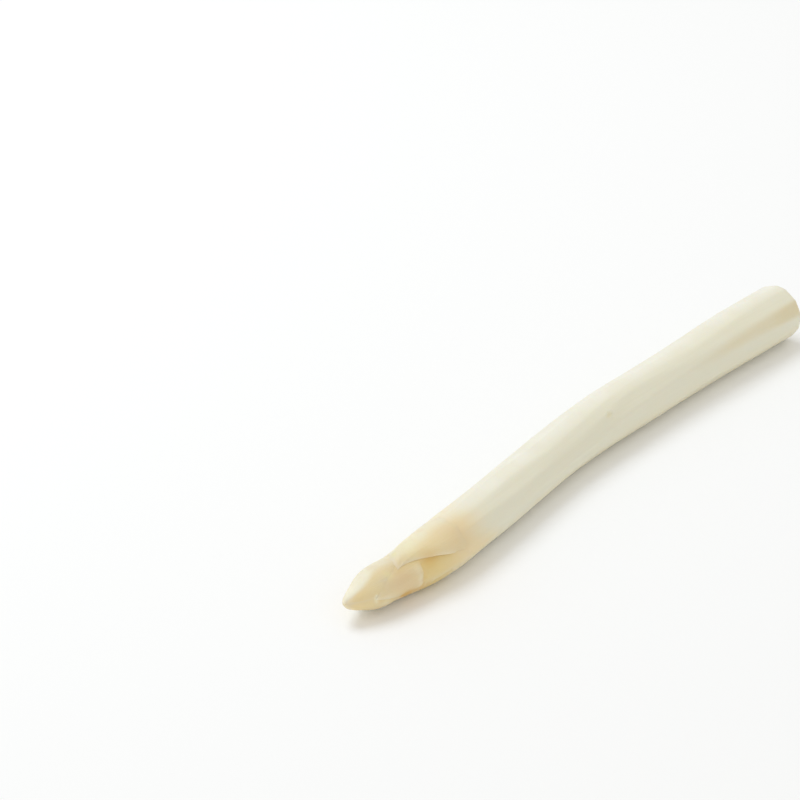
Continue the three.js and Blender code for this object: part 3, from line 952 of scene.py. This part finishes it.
def make_cut_material(name, look):
    """The cut end: moist flesh with the ends of the fibre bundles, closer towards the rim."""
    tree, shader = new_material(name, look)
    place = add_node(tree, "ShaderNodeTexCoord").outputs["Object"]
    cells = add_node(tree, "ShaderNodeTexVoronoi", {
        "Vector": add_scaled(tree, place, (0.0, 1.0, 1.0)), "Scale": 850.0, "Randomness": 0.85})
    dots = add_math(tree, "SUBTRACT", 1.0, add_range(tree, cells.outputs["Distance"], 0.08, 0.34))
    dots = add_math(tree, "MULTIPLY", dots, add_attribute(tree, "bundles"))
    clouds = place_group(tree, "Clouds", Position=place, Size=0.003)
    colour = add_tint(tree, look.cut_face, clouds, 0.6, look.flesh_shade)
    colour = add_tint(tree, colour, dots, 0.45, look.bundle)
    grain = add_math(tree, "MULTIPLY", add_noise(tree, place, 2400.0), 0.00003)
    dips = add_math(tree, "MULTIPLY", dots, -0.00006)
    height = add_math(tree, "ADD", grain, dips)
    feed(tree, shader, {"Base Color": colour, "Roughness": 0.42, "Normal": add_bump(tree, height)})


MATERIAL_MAKERS = {"asparagus_flesh": make_flesh_material, "asparagus_cut_end": make_cut_material,
                   "asparagus_skin": make_scale_material}


def add_material(piece, name, look):
    """Gives a piece one more material, which is made the first time that it is asked for."""
    if not bpy.data.node_groups.get("Fibres"):
        for make_group in (make_fibre_group, make_cloud_group, make_relief_group, make_crevice_shade_group):
            make_group()
    if name not in bpy.data.materials:
        MATERIAL_MAKERS[name](name, look)
    piece.data.materials.append(bpy.data.materials[name])


# ------------------------------------------------------------------ the stalk


def subdivide_long_edges(mesh, shortest, cuts):
    """Subdivides the edges that run further along than a length."""
    bpy.ops.mesh.select_all(action="DESELECT")
    bpy.ops.object.mode_set(mode="OBJECT")
    for edge in mesh.edges:
        first, second = (mesh.vertices[i].co.z for i in edge.vertices)
        edge.select = abs(first - second) > shortest
    bpy.ops.object.mode_set(mode="EDIT")
    bpy.ops.mesh.subdivide(number_cuts=cuts)


def add_stalk_primitive():
    """A cylinder of length 1 from the tip to the cut end, with rings along it and on its cap."""
    deselect_all()
    bpy.ops.mesh.primitive_cylinder_add(vertices=STALK_COLUMNS, radius=1, depth=1,
                                        end_fill_type="NGON", location=(0, 0, 0))
    stalk = name_active("asparagus_stalk")
    mesh = stalk.data
    bpy.ops.object.mode_set(mode="EDIT")
    bpy.ops.mesh.select_mode(type="EDGE")
    subdivide_long_edges(mesh, 0.5, FIRST_CUTS - 1)
    subdivide_long_edges(mesh, 0.5 / FIRST_CUTS, STALK_RINGS // FIRST_CUTS - 1)
    bpy.ops.mesh.select_mode(type="FACE")
    for level in (0.5, -0.5):
        bpy.ops.mesh.select_all(action="DESELECT")
        bpy.ops.object.mode_set(mode="OBJECT")
        for face in mesh.polygons:
            face.select = len(face.vertices) > 4 and abs(face.center.z - level) < 1e-3
        bpy.ops.object.mode_set(mode="EDIT")
        if level > 0:
            for _ in range(FACE_RINGS - 1):
                bpy.ops.mesh.inset(thickness=1 / FACE_RINGS, use_even_offset=False)
        bpy.ops.mesh.poke()
    bpy.ops.object.mode_set(mode="OBJECT")
    return stalk


def stalk_detail(s, turn, look):
    """Depth of the fibres and scars in the peeled flesh, and the scars' mask."""
    fine = (1 + ripple(s, turn, FIBRE_WAVES, FIBRE_PHASE)) * look.fibre_relief
    broad = (1 + ripple(s, turn, BROAD_WAVES, BROAD_PHASE)) * look.unevenness
    peeled = smoothstep(s, *RELIEF_START)
    hollow, lip = scar_masks(s, turn)
    marks = hollow * look.scar_depth - lip * look.scar_lip
    return ((fine + broad) * lerp(HEAD_RELIEF, 1, peeled) + marks) / MM, hollow


def cut_face(turn, inner, relief, look):
    """Places on the face of the cut, a little hollow and uneven: inner is 0 on the axis and 1 at
    the rim."""
    end = np.full(turn.shape, LENGTH)
    rim = flesh_point(end, turn, CUT_ROUNDING + relief)
    centre = axis_point(end)
    along = axis_frame(end)[0]
    dish = look.cut_dish / MM * (1 - inner**2)
    dish = dish + FACE_WAVE * np.sin(3 * np.radians(turn)) * inner * (1 - inner)
    return centre + (rim - centre) * inner[:, None] - along * dish[:, None]


def build_stalk(look):
    stalk = add_stalk_primitive()
    start = places_of(stalk)
    share = start[:, 2] + 0.5
    reach = np.hypot(start[:, 0], start[:, 1])
    turn = np.degrees(np.arctan2(start[:, 1], start[:, 0]))
    on_cap = (share > 1 - 1e-4) & (reach < 1 - 1e-4)
    at_tip = (share < 1e-4) & (reach < 1e-4)

    last_ring = LENGTH - CUT_ROUNDING
    s = FIRST_RING + (last_ring - FIRST_RING) * lerp(share, share**2, HEAD_CROWDING)
    s[at_tip] = 0.0
    rounded = np.clip((1 - reach) * FACE_RINGS / ROUNDED_RINGS, 0, 1) * on_cap
    quarter = rounded * math.pi / 2
    s = np.where(on_cap, last_ring + CUT_ROUNDING * np.sin(quarter), s)

    head = s < HEAD_END + HEAD_MARGIN
    hollow = np.zeros(s.shape)
    hollow[head] = depth_under(len(SCALE_LEAVES), s[head], turn[head], look)
    # painted shade in the crevices beside the leaves' margins
    shade = np.zeros(s.shape)
    shade[head] = crevice_shade_mask(len(SCALE_LEAVES), s[head], turn[head])
    nose = NOSE_COVER * (1 - smoothstep(s, *NOSE_FADE))
    relief, scar = stalk_detail(s, turn, look)
    depth = np.maximum(hollow, nose) + bare_depth(s, turn) + relief
    depth = depth + CUT_ROUNDING * (1 - np.cos(quarter)) * on_cap
    places = flesh_point(s, turn, depth, hollow)

    inner_start = 1 - ROUNDED_RINGS / FACE_RINGS
    inner = np.clip(reach / inner_start, 0, 1)
    on_face = on_cap & (reach < inner_start)
    places = np.where(on_face[:, None], cut_face(turn, inner, relief, look), places)
    places[:, 2] = np.maximum(places[:, 2], 0.0)
    move_to(stalk, places * MM)

    store(stalk, straight=straightened(s, turn, depth))
    store_colour_marks(stalk, s, turn)
    # hollow holds the painted crevice shade
    store(stalk, scar=scar, hollow=shade, bare=bare_share(s, turn, BARE_PATCH["right"]),
          # low: where the underside gets its painted warm bounce light
          stroke=deep_stroke(s, turn), low=smoothstep(np.abs(turn), *LOW_BOUNCE_TURNS),
          bundles=lerp(MIDDLE_BUNDLES, 1, smoothstep(inner, *BUNDLE_RUN)))

    add_material(stalk, "asparagus_flesh", look)
    add_material(stalk, "asparagus_cut_end", look)
    cap = set(np.where(on_cap & (rounded > CUT_MATERIAL_START))[0].tolist())
    for face in stalk.data.polygons:
        if all(i in cap for i in face.vertices):
            face.material_index = 1
    finish_piece(stalk, "stalk")


# ------------------------------------------------------------------ the scale leaves


def leaf_skin(index, u, v, look):
    """Station, turn and depth of a leaf's outer face, and the distance from its margins."""
    leaf = SCALE_LEAVES[index]
    s, turn = leaf_place(index, u, v)
    inside = -beyond_margin(index, s, turn, np.ones(s.shape, bool))
    offset = turn - leaf_turn(index, v)
    depth = depth_under(index, s, turn, look) - leaf_rise(leaf, u, v, offset, inside, look.swell)
    depth = depth - leaf.lift * smoothstep(v, LIFT_START, 1)
    if index == PATCH_LEAF:
        depth = depth + bare_depth(s, turn)
    from_base = leaf.length * v
    if leaf.sink:
        uneven = 1 + 0.5 * np.sin(np.radians(turn) * SUNK_SWAY + 2 * index)
        depth = depth + leaf.sink * uneven * (1 - smoothstep(from_base, BASE_START, 2 * BASE_RUN))
    else:
        depth = depth - BASE_LIP * np.exp(-((from_base / LIP_RUN) ** 2)) * (1 - u**4)
    depth = depth + GROWN_DEPTH * grown_in(leaf, u, v) * (1 - smoothstep(inside, 0.1, GROWN_RUN))
    ribs = sum(height * np.sin(u * waves + step * index) for waves, step, height in RIBS)
    ribs = ribs * (1 - v) ** 0.5 * (1 - u**4) * smoothstep(v, *RIB_START)
    return s, turn, depth - look.rib_relief / MM * ribs, inside


def build_leaf(index, look):
    """A grid is laid over the head in the leaf's outline, gets its thickness and is smoothed."""
    leaf = SCALE_LEAVES[index]
    base_radius = float(outer_radius(np.float64(leaf.base)))
    widest = math.radians(leaf.left[0] + leaf.right[0]) * base_radius
    deselect_all()
    bpy.ops.mesh.primitive_grid_add(x_subdivisions=round(widest / LEAF_POINT_SPACING),
                                    y_subdivisions=round(leaf.length / LEAF_POINT_SPACING) + EXTRA_ROWS,
                                    size=2, location=(0, 0, 0))
    piece = name_active(f"asparagus_scale_leaf_{index + 1:02d}")
    start = places_of(piece)
    u = start[:, 0]
    v = 1 - (1 - (start[:, 1] + 1) / 2) ** APEX_CROWDING
    s, turn, depth, inside = leaf_skin(index, u, v, look)
    move_to(piece, flesh_point(s, turn, depth, np.maximum(depth, 0)) * MM)
    store(piece, across=u, upwards=v, station=s, turn=turn, inside=inside)
    group = piece.vertex_groups.new(name="thickness")
    thickness = leaf_thickness(leaf, u, v, turn - leaf_turn(index, v)) / leaf.thickness
    for number, weight in enumerate(thickness):
        group.add([number], float(weight), "REPLACE")

    bpy.ops.object.mode_set(mode="EDIT")
    bpy.ops.mesh.select_all(action="SELECT")
    bpy.ops.mesh.remove_doubles(threshold=DOUBLES * MM)
    bpy.ops.mesh.normals_make_consistent(inside=False)
    bpy.ops.object.mode_set(mode="OBJECT")
    point_outwards(piece)
    apply_modifier(piece, "SOLIDIFY", thickness=leaf.thickness * MM, offset=-1,
                   vertex_group="thickness", use_rim=True)
    apply_modifier(piece, "SUBSURF", levels=1, render_levels=1)
    lift_off_ground(piece)
    store_leaf_marks(piece, index, look)
    add_material(piece, "asparagus_skin", look)
    finish_piece(piece, f"scale_leaf_{index + 1:02d}")


def store_leaf_marks(piece, index, look):
    """Keeps on a leaf what its material reads: its veins, margins, the painted shade of its crevices and
    its colours.
    """
    leaf = SCALE_LEAVES[index]
    u, v = stored(piece, "across"), stored(piece, "upwards")
    s, turn = stored(piece, "station"), stored(piece, "turn")
    edge = (1 - smoothstep(stored(piece, "inside"), *EDGE_RUN)) * (1 - grown_in(leaf, u, v))
    edge = edge * lerp(BASE_EDGE, 1, smoothstep(leaf.length * v, 0, BASE_EDGE_RUN))
    width = np.radians(half_width(index, u < 0, v)) * VEIN_WIDENING + 1.0
    veins = np.stack([u * width * VEINS_ACROSS, v * VEINS_ALONG + VEIN_STEP * index,
                      np.zeros(len(u))], axis=-1)
    bare = bare_share(s, turn, BARE_PATCH["right"]) * (index == PATCH_LEAF)
    ribbed = smoothstep(1 - v, *VEIN_END) * smoothstep(s, *VEINS_FROM) * (1 - smoothstep(s, *VEINS_TO))
    store(piece, straight=straightened(s, turn, depth_under(index, s, turn, look)), veins=veins)
    store_colour_marks(piece, s, turn)
    # hollow holds the painted shade of the crevices
    store(piece, hollow=crevice_shade_mask(index, s, turn), edge=edge, bare=bare, ribbed=ribbed * (1 - bare))


def point_outwards(piece):
    """Turns an open leaf's faces away from the axis."""
    mesh = piece.data
    middle = mesh.polygons[len(mesh.polygons) // 2]
    s = middle.center.x / MM - TIP_X
    axis = Vector(axis_point(np.float64(s)) * MM)
    if middle.normal.dot(middle.center - axis) < 0:
        mesh.flip_normals()


def lift_off_ground(piece):
    places = places_of(piece)
    places[:, 2] = np.maximum(places[:, 2], 0.0)
    move_to(piece, places)


# ------------------------------------------------------------------ floor, light and camera


def facing(direction):
    """The turn of a light or a camera that looks against a direction."""
    return (-direction).to_track_quat("-Z", "Y").to_euler()


def build_stage(stage):
    deselect_all()
    bpy.ops.mesh.primitive_circle_add(vertices=96, radius=stage.floor_radius, fill_type="NGON",
                                      location=(0, 0, -FLOOR_DROP * MM))
    floor = name_active("floor")
    paint = bpy.data.materials.new("floor_paint")
    paint.use_nodes = True
    feed(paint.node_tree, paint.node_tree.nodes["Principled BSDF"],
         {"Base Color": stage.floor_colour, "Roughness": 0.9, "Specular IOR Level": 0.1})
    floor.data.materials.append(paint)

    scene = bpy.context.scene
    scene.view_settings.view_transform = "Standard"
    scene.world = bpy.data.worlds.new("studio")
    scene.world.use_nodes = True
    feed(scene.world.node_tree, scene.world.node_tree.nodes["Background"],
         {"Color": stage.fill_colour, "Strength": stage.fill_strength})

    azimuth, height = stage.key_azimuth, stage.key_elevation
    towards = Vector((math.cos(azimuth) * math.cos(height), math.sin(azimuth) * math.cos(height),
                      math.sin(height)))
    bpy.ops.object.light_add(type="AREA", location=towards * stage.key_distance,
                             rotation=facing(towards))
    key = bpy.context.object
    key.name = "key_light"
    key.data.shape = "DISK"
    key.data.size = stage.key_size
    key.data.energy = stage.key_power
    key.data.color = stage.key_colour[:3]

    azimuth, height = stage.camera_azimuth, stage.camera_elevation
    back = Vector((math.sin(azimuth) * math.cos(height), -math.cos(azimuth) * math.cos(height),
                   math.sin(height)))
    aim = Vector(stage.camera_aim)
    bpy.ops.object.camera_add(location=aim + back * stage.camera_distance, rotation=facing(back))
    camera = bpy.context.object
    camera.data.sensor_width = 36
    camera.data.lens = stage.lens
    camera.data.clip_start = 0.05
    scene.camera = camera


# ------------------------------------------------------------------ settings, operators, panel


def number_setting(name, description, default, **settings):
    return FloatProperty(name=name, description=description, default=default, **settings)


def distance_setting(name, description, default):
    return number_setting(name, description, default, unit="LENGTH", subtype="DISTANCE", min=0, precision=5)


def angle_setting(name, description, degrees):
    return number_setting(name, description, math.radians(degrees), subtype="ANGLE")


def colour_setting(name, description, default):
    return FloatVectorProperty(name=name, description=description, default=(*default, 1), size=4,
                               subtype="COLOR", min=0, max=1)


class AsparagusLook(bpy.types.PropertyGroup):
    """Relief and colours of the spear."""

    swell: number_setting("Swell", "How far the buds push a scale leaf out, in mm", 0.12, min=0, max=1)
    rib_relief: distance_setting("Ribs", "Height of the ribs of a scale leaf", 0.000016)
    fibre_relief: distance_setting("Fibres", "Height of the fibres on the peeled stalk", 0.00002)
    unevenness: distance_setting("Unevenness", "Height of the broad unevenness of the stalk", 0.00005)
    scar_depth: distance_setting("Scar depth", "Depth of the scars on the stalk", 0.00013)
    scar_lip: distance_setting("Scar lip", "Height of the lip behind each scar", 0.00008)
    cut_dish: distance_setting("Cut dish", "How far the face of the cut has sunk in the middle", 0.00035)
    translucency: number_setting("Translucency", "Share of the light that goes through the flesh", 0.15,
                         min=0, max=1, subtype="FACTOR")
    light_depth: distance_setting("Light depth", "How far light goes in the flesh", 0.0015)
    flesh: colour_setting("Flesh", "Peeled flesh on top", (0.86, 0.85, 0.755))
    # painted shade: the flesh at the side is a shaded copy of the flesh on top
    flesh_painted_shade: colour_setting("Flesh, side", "Peeled flesh at the side", (0.795, 0.778, 0.635))
    # painted warm bounce light on the underside
    flesh_low_painted_bounce: colour_setting("Flesh, below", "Peeled flesh of the underside", (0.83, 0.76, 0.55))
    flesh_shade: colour_setting("Flesh, clouds", "Slightly darker clouds in the flesh", (0.80, 0.77, 0.61))
    fibre: colour_setting("Fibre", "Fibres in the flesh", (0.87, 0.86, 0.76))
    skin: colour_setting("Skin", "Skin of the head on top", (0.885, 0.845, 0.675))
    # painted shade: the skin at the side is a shaded copy of the skin on top
    skin_painted_shade: colour_setting("Skin, side", "Skin of the head at the side", (0.835, 0.705, 0.435))
    skin_shade: colour_setting("Skin, clouds", "Darker clouds in the skin", (0.80, 0.66, 0.39))
    skin_blush: colour_setting("Skin, blush", "Faint pink blush of the skin", (0.84, 0.69, 0.49))
    # partly painted shade
    skin_tan_and_shade: colour_setting("Skin, tan", "Tan spots of the skin", (0.74, 0.535, 0.31))
    skin_yellow: colour_setting("Skin, yellow", "Yellowish spots of the skin", (0.84, 0.76, 0.42))
    # partly a painted highlight
    skin_pale_and_highlight: colour_setting("Skin, pale", "Pale spots of the skin", (1.0, 0.94, 0.72))
    # painted orange shade in the creases of the skin
    crease_shade_orange: colour_setting("Skin, orange", "Creases of the skin", (0.73, 0.41, 0.06))
    # the bud colours are lighter partly as painted light over the nose's shade and partly for the
    # translucent tip
    bud: colour_setting("Bud, top", "Tip of the head, on top", (0.96, 0.905, 0.71))
    # painted shade: the bud at the side is a shaded copy of the bud on top
    bud_painted_shade: colour_setting("Bud, side", "Tip of the head, at its side", (0.90, 0.705, 0.38))
    vein: colour_setting("Vein", "Lines along a scale leaf", (0.87, 0.79, 0.57))
    edge: colour_setting("Edge", "Thin margins of the leaves", (0.87, 0.78, 0.60))
    # painted shade in the crevices beside the leaves
    hollow: colour_setting("Hollow", "Crevices beside the leaves", (0.78, 0.58, 0.24))
    bare: colour_setting("Bare", "Where a scale leaf is gone", (0.78, 0.62, 0.28))
    scar: colour_setting("Scar", "Leaf scars", (0.76, 0.66, 0.34))
    deep_stroke: colour_setting("Deep stroke", "Where the peeler went deeper", (0.76, 0.67, 0.44))
    cut_face: colour_setting("Cut face", "Face of the cut end", (0.84, 0.81, 0.66))
    bundle: colour_setting("Bundle", "Ends of the fibre bundles", (0.66, 0.58, 0.35))


class AsparagusStage(bpy.types.PropertyGroup):
    """Floor, light and camera."""

    floor_radius: distance_setting("Floor radius", "Radius of the round floor", 3.0)
    floor_colour: colour_setting("Floor", "Colour of the floor", (0.96, 0.975, 1.0))
    fill_colour: colour_setting("Fill colour", "Colour of the soft fill light", (1.0, 0.965, 0.9))
    fill_strength: number_setting("Fill", "Strength of the soft fill light", 0.75)
    key_power: number_setting("Key", "Power of the main light", 8.0, unit="POWER")
    key_colour: colour_setting("Key colour", "Colour of the main light", (0.88, 0.94, 1.0))
    key_size: distance_setting("Key size", "Diameter of the main light", 0.9)
    key_distance: distance_setting("Key distance", "From the spear to the main light", 1.5)
    key_azimuth: angle_setting("Key azimuth", "Direction of the main light, from +X", 100)
    key_elevation: angle_setting("Key elevation", "Height of the main light", 63.5)
    camera_azimuth: angle_setting("Camera azimuth", "Turn of the camera round the spear", -50.633)
    camera_elevation: angle_setting("Camera elevation", "Height of the camera", 30)
    camera_distance: distance_setting("Camera distance", "From the camera to its aim", 1.0)
    camera_aim: FloatVectorProperty(name="Camera aim", description="Point on the floor that it looks at",
                                    default=(-0.0020, 0.06764, 0), subtype="TRANSLATION")
    lens: number_setting("Lens", "Focal length", 142.5, unit="CAMERA")


class ASPARAGUS_OT_stalk(bpy.types.Operator):
    """Model the peeled stalk, with its strokes, scars and cut end."""

    bl_idname = "asparagus.stalk"
    bl_label = "Stalk"

    def execute(self, context):
        build_stalk(context.scene.asparagus_look)
        return {"FINISHED"}


class ASPARAGUS_OT_scale_leaves(bpy.types.Operator):
    """Model the scale leaves of the head, each as a piece of its own."""

    bl_idname = "asparagus.scale_leaves"
    bl_label = "Scale leaves"

    def execute(self, context):
        for index in range(len(SCALE_LEAVES)):
            build_leaf(index, context.scene.asparagus_look)
        return {"FINISHED"}


class ASPARAGUS_OT_stage(bpy.types.Operator):
    """Set up the floor, the soft light and the camera."""

    bl_idname = "asparagus.stage"
    bl_label = "Stage"

    def execute(self, context):
        build_stage(context.scene.asparagus_stage)
        return {"FINISHED"}


class ASPARAGUS_PT_panel(bpy.types.Panel):
    """Builds the spear piece by piece."""

    bl_idname = "ASPARAGUS_PT_panel"
    bl_label = "Asparagus"
    bl_space_type = "VIEW_3D"
    bl_region_type = "UI"
    bl_category = "Asparagus"

    def draw(self, context):
        for operator in OPERATORS:
            self.layout.operator(operator.bl_idname)
        for settings in (context.scene.asparagus_look, context.scene.asparagus_stage):
            box = self.layout.box()
            for name in settings.__annotations__:
                box.prop(settings, name)


OPERATORS = (ASPARAGUS_OT_stalk, ASPARAGUS_OT_scale_leaves, ASPARAGUS_OT_stage)
CLASSES = (AsparagusLook, AsparagusStage, *OPERATORS, ASPARAGUS_PT_panel)


def register():
    for cls in CLASSES:
        bpy.utils.register_class(cls)
    bpy.types.Scene.asparagus_look = PointerProperty(type=AsparagusLook)
    bpy.types.Scene.asparagus_stage = PointerProperty(type=AsparagusStage)


def unregister():
    del bpy.types.Scene.asparagus_look
    del bpy.types.Scene.asparagus_stage
    for cls in reversed(CLASSES):
        bpy.utils.unregister_class(cls)


def main():
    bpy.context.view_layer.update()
    register()
    bpy.ops.asparagus.stalk()
    bpy.ops.asparagus.scale_leaves()
    bpy.ops.asparagus.stage()


if __name__ == "__main__":
    main()
